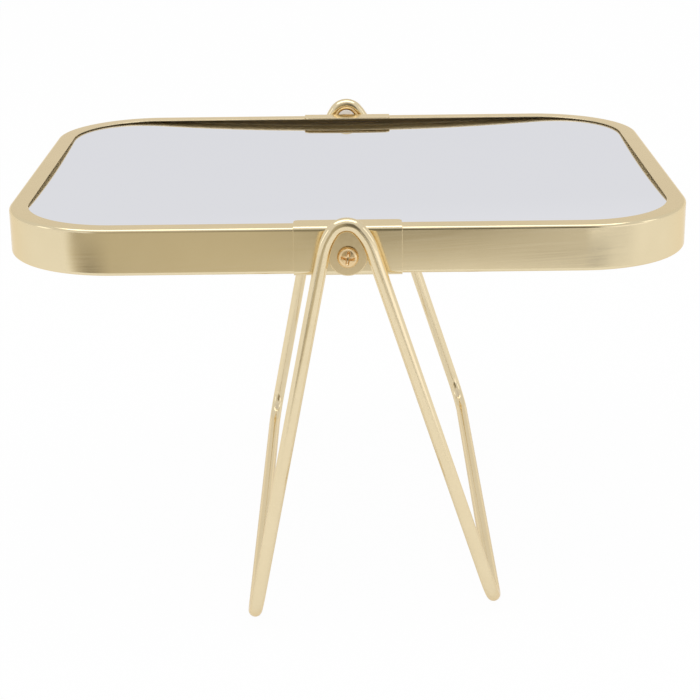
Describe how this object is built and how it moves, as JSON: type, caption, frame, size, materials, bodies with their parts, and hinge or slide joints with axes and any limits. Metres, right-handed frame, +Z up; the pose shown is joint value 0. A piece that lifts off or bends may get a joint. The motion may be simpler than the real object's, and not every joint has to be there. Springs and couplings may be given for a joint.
{
  "type": "makeup mirror",
  "caption": "Tabletop makeup mirror: a rounded rectangular double-sided mirror in a gold channel frame, which turns on pivot screws between the arches of a bent-wire stand.",
  "frame": {"origin": "on the table, midway between the four foot bends and straight under the pivot axis", "axes": "+Z up, +Y along the pivot axis from the front of the picture to the rear, +X along the long side of the mirror to the right"},
  "size_m": [0.2004, 0.178, 0.1245],
  "materials": {
    "gold_wire": "satin champagne-gold plating on steel wire",
    "gold_band": "satin champagne-gold plating on rolled steel strip, finely brushed along its length",
    "gold_sleeve": "satin champagne-gold plating on bent sheet",
    "gold_disc": "satin champagne-gold plating, brazed to the wire",
    "gold_screw": "bright gold plating",
    "plate_steel": "plain zinc-plated steel",
    "mirror_glass": "silvered glass",
    "nylon": "natural nylon",
    "board": "dark pressed board",
    "foam": "dark foam"
  },
  "bodies": {
    "stand": {"wire_stand": "gold_wire", "pivot_disc_front": "gold_disc", "pivot_disc_rear": "gold_disc", "friction_washer_front": "nylon", "friction_washer_rear": "nylon"},
    "mirror_head": {"magnifying_mirror": "mirror_glass", "plain_mirror": "mirror_glass", "backing_board": "board", "frame_half_left": "gold_band", "frame_half_right": "gold_band", "pivot_screw_front": "gold_screw", "pivot_bush_front": "gold_screw", "joint_sleeve_front": "gold_sleeve", "nut_plate_front": "plate_steel", "pivot_screw_rear": "gold_screw", "pivot_bush_rear": "gold_screw", "joint_sleeve_rear": "gold_sleeve", "nut_plate_rear": "plate_steel", "corner_pad_front_left": "foam", "corner_pad_front_right": "foam", "corner_pad_rear_left": "foam", "corner_pad_rear_right": "foam"}
  },
  "joints": [
    {"name": "mirror_tilt", "type": "hinge", "parent": "stand", "child": "mirror_head", "pos_m": [0, 0, 0.1117], "axis": [0, 1, 0], "continuous": true}
  ]
}
